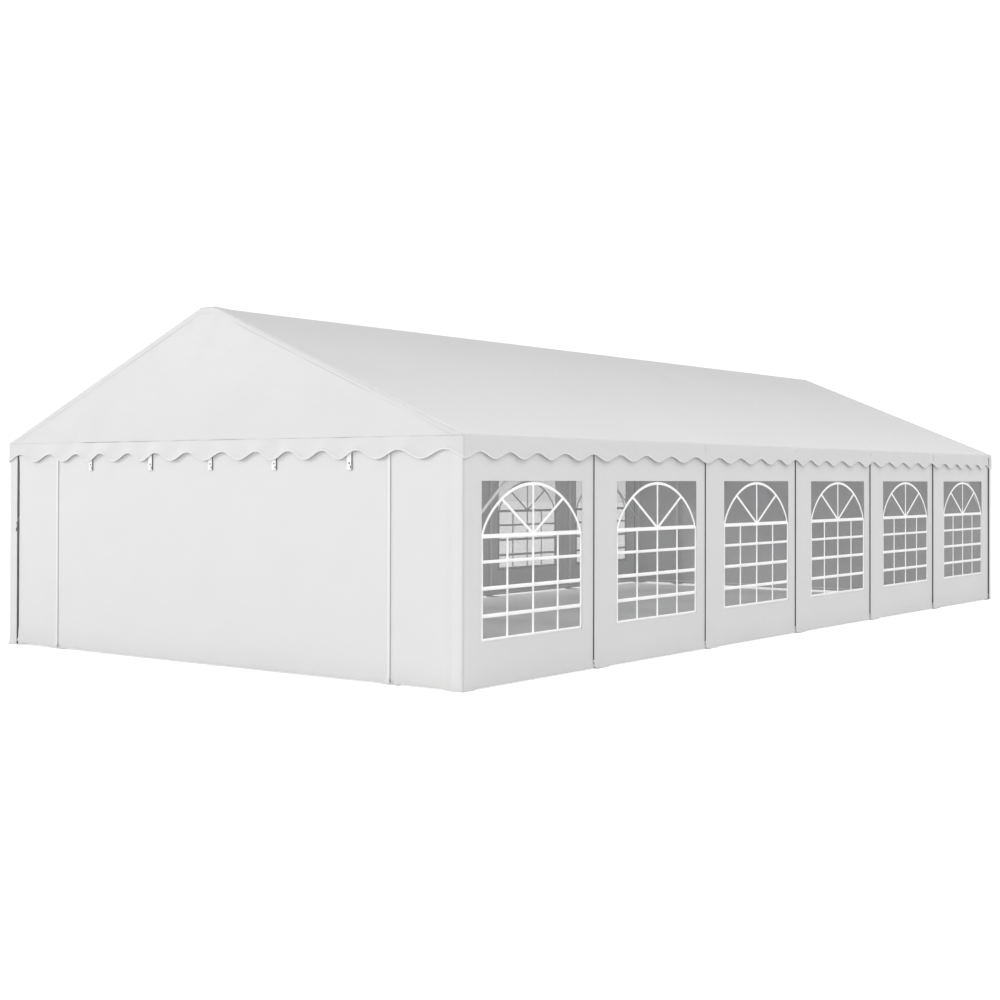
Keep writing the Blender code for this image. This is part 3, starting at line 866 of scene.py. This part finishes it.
def wall_slack(run, z, seed):
    """How far a hung sheet stands out of its own plane, most at the middle of its height."""
    inside = (run + HALF_LENGTH - FACE_Y + JOINT_BEFORE_POST) / BAY % 1.0
    held = min(1.0, inside / 0.06, (1 - inside) / 0.06)
    free = math.sin(math.pi * min(1.0, max(0.0, (z - WALL_BOTTOM) / 1.80)))
    low = max(0.0, 1.0 - (z - WALL_BOTTOM) / 0.5)
    soft = 0.0022 * free * (1.0 + noise.noise(Vector((run * 1.4, z * 0.8, seed))))
    return held * (soft + 0.0025 * low * max(0.0, noise.noise(Vector((run * 3.1, z, seed + 5.0))) + 0.3))


def over_feet(run, z, fade=0.030):
    """How far the hem hangs down round a foot plate, from 0 to 1. Beside the plate it rises within fade."""
    near = min(abs(run - foot) for foot in FEET)
    over = max(0.0, min(1.0, (FOOT_REACH + fade - near) / fade))
    return over * max(0.0, 1 - (z - WALL_BOTTOM) / 0.05)


def foot_lines(start, finish):
    """Grid lines for that dip in the hem."""
    reaches = (-FOOT_REACH - 0.030, -FOOT_REACH, FOOT_REACH, FOOT_REACH + 0.030)
    places = [foot + reach for foot in FEET for reach in reaches]
    return [place for place in places if start + HEM + 0.004 < place < finish - HEM - 0.004]


def joint_zip(name, side, end, columns):
    """A zip on its tape, up the outside of a wall sheet, where the next sheet's flap covers it. It is
    painted
    almost black: painted shade for the hollow under the flap.
    """

    def zip_spot(run, z):
        spot, out = wall_spot(side, end, run)
        return spot + out * 0.0020 + Vector((0, 0, z))

    columns = columns if side * end < 0 else columns[::-1]
    strip = hang_cloth(name, columns, lines([0.085, WALL_TOP], 0.10), zip_spot, 0.0010, zip_and_painted_shade)
    rest(strip)
    return strip


# The joint zips are painted almost black: painted shade for the hollow under each flap.
zip_and_painted_shade, shader, shade = new_finish("zip_and_painted_shade", grey(0.10), 0.6)
teeth = shade.cloth_place().also("Y").wave(0.0040)
(teeth * 0.5 + 0.5).blend(grey(0.08), grey(0.13)).into(shader, "Base Color")
(0.6 - teeth * 0.1).into(shader, "Roughness")
teeth.relief(0.6, 0.0006).into(shader, "Normal")
wall_cloth = coated_cloth("wall_cloth", CLOTH_WHITE, 0.007)
side_sheets = {}
for side_name, side in SIDES:
    for k in range(1, 7):
        node = f"side_panel_{side_name}_{k}"
        low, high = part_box(node)
        flap, stood_off = FLAPS.get(k, (0.0, 0.0))
        start = low.y + FACE_Y - flap
        finish = high.y + FACE_Y + UNDERLAP
        if k == 1:
            start = (low.x if side > 0 else -high.x) - FACE_X
            start -= 0.0 if side > 0 else OPEN_CORNER_START
        window = WINDOW_START - (HALF_LENGTH - FACE_Y) + (k - 1) * BAY
        window_end = window + WINDOW_WIDTH

        def panel_hem(run, z):
            near = max(window - run, run - window_end, WINDOW_LOW - z, z - WINDOW_HIGH)
            if near < WINDOW_WELD + LEDGE / 2:
                return 1.0
            return in_hem(run, z, start, finish)

        def panel_place(run, z):
            shift = 0.0
            if k > 1 and z < CURL_HEIGHT and run - start < CURL_LENGTH:
                curl = (1 - (z - WALL_BOTTOM) / (CURL_HEIGHT - WALL_BOTTOM)) ** 2
                shift = CORNER_CURL * max(0.0, curl * (1 - (run - start) / CURL_LENGTH))
            spot, out = wall_spot(side, -1, run + shift)
            lift = wall_slack(run, z, k * 3.7 + side) + HEM_RISE * panel_hem(run, z)
            if k > 1:
                lift += flap_lift(run - start, stood_off)
            if k == 1 and side < 0:
                low_down = max(0.0, 1 - z / 0.09) ** 2
                lift += OPEN_CORNER_FLARE * low_down * max(0.0, 1 - abs(run) / 0.11)
            return spot + out * lift + Vector((0, 0, z - HEM_DIP * over_feet(run, z)))

        places = [start, start + HEM, start + HEM + LEDGE]
        if k == 1:
            places += BEND_LINES
        else:
            places[1:1] = [start + 0.006, start + 0.012, start + 0.020]
        places += [window - WINDOW_WELD - LEDGE, window - WINDOW_WELD, window, window_end]
        places += [window_end + WINDOW_WELD, window_end + WINDOW_WELD + LEDGE]
        places += [finish - HEM - LEDGE, finish - HEM, finish]
        rows = [*HEM_ROWS, 0.06, 0.08, WINDOW_LOW - WINDOW_WELD - LEDGE, WINDOW_LOW - WINDOW_WELD]
        rows += [WINDOW_LOW, WINDOW_HIGH, WINDOW_HIGH + WINDOW_WELD, WINDOW_HIGH + WINDOW_WELD + LEDGE]
        rows = lines([*rows, WALL_TOP], 0.08)
        columns = lines(sorted(places + foot_lines(start, finish)), 0.075)
        columns = columns if side > 0 else columns[::-1]
        name = f"wall_sheet_{side_name}_{k}"
        opening = [(window, window_end, WINDOW_LOW, WINDOW_HIGH)]
        sheet = hang_cloth(name, columns, rows, panel_place, CLOTH, wall_cloth, opening, panel_hem)
        rest(sheet)
        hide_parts(node)
        if k > 1:
            zip_lines = [start + across for across in JOINT_ZIP]
            strip = joint_zip(f"joint_zip_{side_name}_{k}", side, -1, zip_lines)

            def joint_edge(z):
                here = panel_place(start, z)
                return here, (panel_place(start + 0.01, z) - here).normalized()

            heights = lines([WALL_BOTTOM + 0.001, 0.03, 0.075, WALL_TOP], 0.04)
            heights[1:1] = [0.017, 0.022]
            heights = heights[::-1] if side > 0 else heights
            name = f"joint_tape_{side_name}_{k}"
            tape = tape_round(name, heights, joint_edge, Vector((side, 0, 0)))
        size = (finish - start, WALL_TOP - WALL_BOTTOM)
        area = size[0] * size[1] - WINDOW_WIDTH * (WINDOW_HIGH - WINDOW_LOW)
        side_sheets[side_name, k] = window

# The windows: clear film welded behind each opening, with white bars printed on it as an arched window
# with sixteen square panes and four in its fan. The bars are modelled once and laid on each film.
FILM_BACK = 0.0034
FILM_LAP = 0.02
LATTICE_ACROSS = (0.2400, 0.2650, 0.5770, 0.6040, 0.9340, 0.9630, 1.2950, 1.3210, 1.6450, 1.6850)
LATTICE_UP = (0.3660, 0.3980, 0.5600, 0.5910, 0.7780, 0.8090, 0.9920, 1.0180, 1.1910, 1.2130)
FAN_MIDDLE = 0.9500
FAN_HALF = 0.6945
FAN_LOW = 1.2130
FAN_HEIGHT = 0.4145
FAN_SPOKE = 0.63
FAN_BAR = 0.0125


def film_place(side, k, start, across, z, out):
    """A point on the film or in front of it, across the window from the tent's front corner."""
    spot, way = wall_spot(side, -1, start + across)
    bow = max(0.0, 0.0004 + ripple(across * 2.4 + start, z * 2.0, 1.5, 0.0008))
    slack = wall_slack(start + across, z, k * 3.7 + side)
    return spot + way * (out - FILM_BACK - bow + slack) + Vector((0, 0, z))


def window_pattern():
    """The printed bars, flat, with across as x and height as y."""
    holes = []
    for a, b in zip(LATTICE_ACROSS[1::2], LATTICE_ACROSS[2::2]):
        for c, d in zip(LATTICE_UP[1::2], LATTICE_UP[2::2]):
            holes.append((a, b, c, d))

    def flat_place(across, up):
        return Vector((across, up, 0))

    flat = hang_cloth("lattice", LATTICE_ACROSS, LATTICE_UP, flat_place, 0, printed_white, holes)
    bpy.ops.mesh.primitive_circle_add(vertices=64, radius=1.0, fill_type="TRIFAN")
    fan = bpy.context.object
    bpy.ops.object.mode_set(mode="EDIT")
    bpy.ops.mesh.select_all(action="SELECT")
    bpy.ops.mesh.bisect(plane_co=(0, 0, 0), plane_no=(0, 1, 0), clear_inner=True)
    bpy.ops.mesh.select_all(action="DESELECT")
    bpy.ops.mesh.select_mode(type="EDGE")
    bpy.ops.object.mode_set(mode="OBJECT")
    spokes = (45, 90, 135)
    for edge in fan.data.edges:
        ends = [fan.data.vertices[i].co for i in edge.vertices]
        hub = min(point.length for point in ends) < 0.01
        rim = max(ends, key=lambda point: point.length)
        turn = math.degrees(math.atan2(rim.y, rim.x))
        level = rim.y < 0.001
        edge.select = hub and not level and min(abs(turn - s) for s in spokes) > 1
    bpy.ops.object.mode_set(mode="EDIT")
    bpy.ops.mesh.dissolve_edges(use_verts=False)
    bpy.ops.object.mode_set(mode="OBJECT")
    spoke = math.cos(math.pi / 4)
    for point in fan.data.vertices:
        if point.co.length > 0.01:
            u = abs(point.co.x)
            if u < spoke:
                u *= FAN_SPOKE / spoke
            else:
                u = FAN_SPOKE + (u - spoke) / (1 - spoke) * (1 - FAN_SPOKE)
            rise = FAN_HEIGHT * max(0.0, 1 - u * u) ** 0.7
            point.co = (FAN_HALF * math.copysign(u, point.co.x), rise, 0)
    bpy.ops.object.mode_set(mode="EDIT")
    bpy.ops.mesh.select_mode(type="FACE")
    bpy.ops.mesh.select_all(action="SELECT")
    bpy.ops.mesh.inset(thickness=FAN_BAR, use_individual=True)
    bpy.ops.mesh.delete(type="FACE")
    bpy.ops.object.mode_set(mode="OBJECT")
    for point in fan.data.vertices:
        x, y = point.co.x, point.co.y
        rise = FAN_HEIGHT * max(0.0, 1 - (x / FAN_HALF) ** 2) ** 0.7
        if abs(y - rise) < 0.0001:
            out = Vector((x / FAN_HALF**2, y / FAN_HEIGHT**2, 0)).normalized() * FAN_BAR
            x, y = x + out.x, y + out.y
        point.co = (x + FAN_MIDDLE, y + FAN_LOW, 0)
    fan.data.materials.append(printed_white)
    whole = joined("window_pattern", [flat, fan])
    thicken(whole, 0.0004, offset=1)
    mark(whole, "behind", [1.0 if point.co.z < 0.0002 else 0.0 for point in whole.data.vertices])
    return whole


clear_film, shader, shade = new_finish("clear_film", (0.80, 0.81, 0.82, 1.0), 0.10)
haze = shade.object_place().mottle(3.0, 4.0)
(0.21 + haze * 0.06).into(shader, "Alpha")
(0.10 + haze * 0.10).into(shader, "Roughness")
haze.blend((0.44, 0.44, 0.45, 1.0), (0.50, 0.50, 0.51, 1.0)).into(shader, "Base Color")
haze.relief(0.3, 0.001).into(shader, "Normal")

printed_white, shader, shade = new_finish("printed_white", grey(0.97), 0.35)
ink = shade.object_place().mottle(90.0, 3.0)
behind = shade.marked("behind")
# The back of the print, seen from inside the tent, is painted dark grey: painted shade.
behind.blend(ink.blend(grey(0.99), grey(0.96)), grey(0.30)).into(shader, "Base Color")
(0.28 + ink * 0.2).into(shader, "Roughness")
ink.relief(0.2, 0.0003).into(shader, "Normal")

pattern = window_pattern()
for (side_name, k), start in side_sheets.items():
    side = 1 if side_name == "right" else -1
    origin = start - WINDOW_START

    def film_at(across, z):
        return film_place(side, k, origin, across, z, 0.0)

    columns = lines([WINDOW_START - FILM_LAP, WINDOW_START + WINDOW_WIDTH + FILM_LAP], 0.07)
    columns = columns if side > 0 else columns[::-1]
    rows = lines([WINDOW_LOW - FILM_LAP, WINDOW_HIGH + FILM_LAP], 0.07)
    film = hang_cloth(f"film_sheet_{side_name}_{k}", columns, rows, film_at, 0.0007, clear_film)
    rest(film)
    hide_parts(f"window_film_{side_name}_{k}")
    bars = copied(pattern, f"window_bars_{side_name}_{k}", Matrix.Identity(4))
    for point in bars.data.vertices:
        point.co = film_place(side, k, origin, point.co.x, point.co.y, 0.0002 + point.co.z)
    if side < 0:
        bars.data.flip_normals()
    rest(bars)
    size = (WINDOW_WIDTH + 2 * FILM_LAP, WINDOW_HIGH - WINDOW_LOW + 2 * FILM_LAP)
bpy.data.objects.remove(pattern)

# The gable walls: a wide door sheet between two zips, and a narrow sheet at each side of it. At the front
# they meet the bands of the long walls, and at the rear they are bent round the corners themselves.
DOOR_HALF = 2.144
SLACK_START = -1.2
SLACK_RISE = 0.011
SLACK_TOP = 0.12
LOOSE = 0.004
LOOSE_TOP = 1.90
SLIT_CURL = 0.010
SLIT_GAP = 0.004
WALLS = (
    ("front_panel_left", -1, -1, False),
    ("front_door", -1, 1, False),
    ("front_panel_right", -1, 1, False),
    ("rear_panel_left", 1, -1, True),
    ("rear_door", 1, 1, False),
    ("rear_panel_right", 1, 1, True),
)
gable_sheets = {}
for node, end, side, bent in WALLS:
    fittings = []
    low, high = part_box(node)
    start = (low.x if side > 0 else -high.x) - FACE_X
    finish = (high.x if side > 0 else -low.x) - FACE_X
    if bent:
        finish = FACE_Y - low.y + FLAPS["rear"][0]
        zip_lines = [finish - across for across in reversed(JOINT_ZIP)]
        fittings.append(joint_zip(f"joint_zip_{'right' if side > 0 else 'left'}_rear", side, end, zip_lines))
    if node == "front_panel_left":
        finish -= SLIT_GAP

    def sheet_hem(run, z):
        return in_hem(run, z, start, finish)

    def sheet_place(run, z):
        spot, out = wall_spot(side, end, run)
        loose = max(0.0, ripple(run * 0.8, z * 0.5, end * 2.0, LOOSE))
        loose *= min(1.0, (z - WALL_BOTTOM) / 0.2) * max(0.0, min(1.0, (LOOSE_TOP - z) / 0.5))
        lift = HEM_RISE * in_hem(run, z, start, finish) + loose
        if bent:
            lift += flap_lift(finish - run, FLAPS["rear"][1])
        covered = over_feet(run, z, 0.150 if end < 0 and spot.x < SLACK_START else 0.030)
        if end < 0 and z < SLACK_TOP:
            slack = max(0.0, min(1.0, SLACK_START - spot.x))
            z += SLACK_RISE * slack * (SLACK_TOP - z) / (SLACK_TOP - WALL_BOTTOM) * (1 - covered)
        z -= HEM_DIP * covered
        if node == "front_panel_left":
            held = max(0.0, min(1.0, z / 0.1 - 1.0, (LOOSE_TOP - z) / 0.1))
            lift -= SLIT_CURL * max(0.0, 1 - (finish - run) / 0.025) ** 2 * held
        return spot + out * lift + Vector((0, 0, z))

    places = [start, start + HEM, start + HEM + LEDGE]
    if bent:
        places += BEND_LINES
    places += [finish - HEM - LEDGE, finish - HEM, finish - 0.020, finish - 0.012, finish - 0.006, finish]
    rows = lines([*HEM_ROWS, WALL_TOP], 0.08)
    columns = lines(sorted(places + foot_lines(start, finish)), 0.09)
    columns = columns if side * end < 0 else columns[::-1]
    sheet = hang_cloth(f"{node}_sheet", columns, rows, sheet_place, CLOTH, wall_cloth, (), sheet_hem)
    rest(sheet)
    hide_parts(node)
    size = (finish - start, WALL_TOP - WALL_BOTTOM)
    gable_sheets[node] = (sheet, size, "gable_frame_front" if end < 0 else "gable_frame_rear", fittings)

# The zips beside each door: a nylon coil between two welts of white tape, closed down to the ground,
# with a plated slider at its foot.
ZIP_SECTION = (
    (-0.0200, 0.0010),
    (-0.0185, 0.0028),
    (-0.0165, 0.0036),
    (0.0030, 0.0036),
    (0.0052, 0.0030),
    (0.0062, 0.0012),
    (0.0085, 0.0012),
    (0.0092, 0.0026),
    (0.0110, 0.0032),
    (0.0128, 0.0026),
    (0.0135, 0.0012),
    (0.0180, 0.0010),
)
COIL = 0.0110

zip_tape, shader, shade = new_finish("zip_tape", grey(0.93), 0.5)
laid = shade.cloth_place()
middle = ((1 - abs(laid - COIL) / 0.0036) * 6.0).held()
middle.blend(grey(0.78), grey(0.34)).into(shader, "Base Color")
(0.55 - middle * 0.2).into(shader, "Roughness")
teeth = middle * laid.also("Y").wave(0.0032) + laid.also("Y").wave(0.0014) * 0.2
teeth.relief(0.7, 0.0008).into(shader, "Normal")

body = block((0.0110, 0.0070, 0.0180), (0, 0, 0), 0.0016)
for point in body.data.vertices:
    if point.co.z > 0.004:
        point.co.x *= 1.25
bpy.ops.mesh.primitive_grid_add(x_subdivisions=3, y_subdivisions=5, size=1)
pull = bpy.context.object
cut_out(pull, lambda spot: abs(spot.x) < 0.1 and abs(spot.y) < 0.25)
for point in pull.data.vertices:
    point.co = (point.co.x * 0.009, -0.0045 - 0.002 * (0.5 - point.co.y), point.co.y * 0.030 + 0.003)
thicken(pull, 0.0014)
slider = joined("slider", [body, pull])
slider.data.materials.append(zinc)
bpy.ops.object.shade_smooth_by_angle(angle=math.radians(35))

zip_columns = [across for across, _ in ZIP_SECTION]
zip_height = dict(ZIP_SECTION)
for end_name, end in ENDS:
    for side_name, side in SIDES:
        middle = side * DOOR_HALF + (0.014 if side * end > 0 else 0.0) * -end

        def zip_place(across, z):
            return Vector((middle - end * across, end * (FACE_Y + 0.0010 + zip_height[across]), z))

        rows = lines([0.016, 1.975], 0.10)
        strip = hang_cloth(f"zip_{end_name}_{side_name}", zip_columns, rows, zip_place, 0.0008, zip_tape)
        rest(strip)
        seat = Matrix.Translation((middle - end * COIL, end * (FACE_Y + 0.0085), 0.034))
        turn = Matrix.Rotation(math.pi if end > 0 else 0.0, 4, "Z")
        placed = copied(slider, f"zip_slider_{end_name}_{side_name}", seat @ turn)
        rest(placed)
        gable_sheets[f"{end_name}_panel_{side_name}"][3].extend([strip, placed])
bpy.data.objects.remove(slider)

# The door's roll-up ties: five straps of white webbing hung out under each gable valance, with two holes
# punched through each. Each lies over a strip of dark grey cloth that reaches a little past its right edge:
# painted shadow of the strap, and painted shade seen through its holes. One is made at the middle of the
# front and copied.
TIE_PLACES = (-1.622, -0.763, 0.040, 0.839, 1.711)
TIE_TOP = 1.905
TIE_LOW = 1.738
TIE_ACROSS = (-0.027, -0.010, 0.006, 0.017, 0.021)
TIE_UP = (TIE_LOW, 1.750, 1.772, 1.785, 1.799, 1.83, 1.86, 1.88, TIE_TOP)
TIE_HOLES = ((-0.010, 0.006, 1.785, 1.799), (0.006, 0.017, 1.750, 1.772))
SHADOW_STRIP_ACROSS = (-0.012, 0.0, 0.012, 0.020, 0.026)
SHADOW_STRIP_UP = (TIE_LOW + 0.002, 1.80, TIE_TOP - 0.004)

webbing, shader, shade = new_finish("webbing", grey(0.88), 0.6)
laid = shade.cloth_place()
threads = (laid * 0.7 + laid.also("Y")).wave(0.0022) * (laid * 0.7 - laid.also("Y")).wave(0.0022)
(threads * 0.5 + 0.5).blend(grey(0.90), grey(0.97)).into(shader, "Base Color")
(0.62 - threads * 0.06).into(shader, "Roughness")
threads.relief(0.6, 0.0005).into(shader, "Normal")

# Almost black: behind each tie strap it is painted shadow; the corner tie's loop is made of it too.
elastic, shader, shade = new_finish("elastic_and_painted_shadow", grey(0.09), 0.7)
cords = shade.cloth_place().wave(0.0020)
(cords * 0.5 + 0.5).blend(grey(0.07), grey(0.11)).into(shader, "Base Color")
(0.7 - cords * 0.08).into(shader, "Roughness")
cords.relief(0.5, 0.0004).into(shader, "Normal")


def strap_place(across, z):
    hung = min(1.0, (TIE_TOP - z) / 0.04)
    return Vector((across, -(FACE_Y + 0.0045 + 0.0055 * hung), z))


def shadow_strip_place(across, z):
    return Vector((across, -(FACE_Y + 0.0035), z))


strap = hang_cloth("strap", TIE_ACROSS, TIE_UP, strap_place, 0.0025, webbing, TIE_HOLES)
painted_shadow_strip = hang_cloth("elastic", SHADOW_STRIP_ACROSS, SHADOW_STRIP_UP, shadow_strip_place, 0.0012, elastic)
tie = joined("tie", [strap, painted_shadow_strip])
for end_name, end in ENDS:
    turn = Matrix.Rotation(math.pi if end > 0 else 0.0, 4, "Z")
    hung = [copied(tie, f"tie_{i}", turn @ Matrix.Translation((x, 0, 0))) for i, x in enumerate(TIE_PLACES)]
    ties = joined(f"door_ties_{end_name}", hung)
    rest(ties)
    gable_sheets[f"{end_name}_door"][3].append(ties)
bpy.data.objects.remove(tie)

# The corner tie: a short strap of grey elastic sewn beside the open slit at the left of the front, with a
# black plastic toggle hanging from it.
TOGGLE_PROFILE = (
    (0.0000, -0.0160),
    (0.0050, -0.0155),
    (0.0070, -0.0120),
    (0.0048, -0.0040),
    (0.0048, 0.0040),
    (0.0070, 0.0120),
    (0.0050, 0.0155),
    (0.0000, 0.0160),
)
TOGGLE_PLACE = (-2.7800, -FACE_Y - 0.0070, 1.150)
LOOP_PLACE = (-2.789, -FACE_Y - 0.0025, 1.224)
LOOP_LENGTH = 0.070
LOOP_SWING = 0.016

black_plastic, shader, shade = new_finish("black_plastic", grey(0.05), 0.3)
mould = shade.object_place().mottle(500.0, 2.0)
(0.26 + mould * 0.14).into(shader, "Roughness")
mould.blend(grey(0.04), grey(0.07)).into(shader, "Base Color")
mould.relief(0.15, 0.0002).into(shader, "Normal")

toggle = turned("toggle", TOGGLE_PROFILE, 12)
toggle.data.transform(Matrix.Translation(TOGGLE_PLACE))
toggle.data.materials.append(black_plastic)
bpy.ops.object.shade_smooth_by_angle(angle=math.radians(40))


def loop_place(across, down):
    swing = math.sin(math.pi * down / LOOP_LENGTH)
    return Vector(LOOP_PLACE) + Vector((across + LOOP_SWING * swing, -0.003 * swing, -down))


rows = lines([LOOP_LENGTH, 0.0], 0.006)
loop = hang_cloth("loop", [-0.006, 0.0, 0.006], rows, loop_place, 0.0015, elastic)
corner_tie = joined("corner_tie", [toggle, loop])
rest(corner_tie)
gable_sheets["front_panel_left"][3].append(corner_tie)
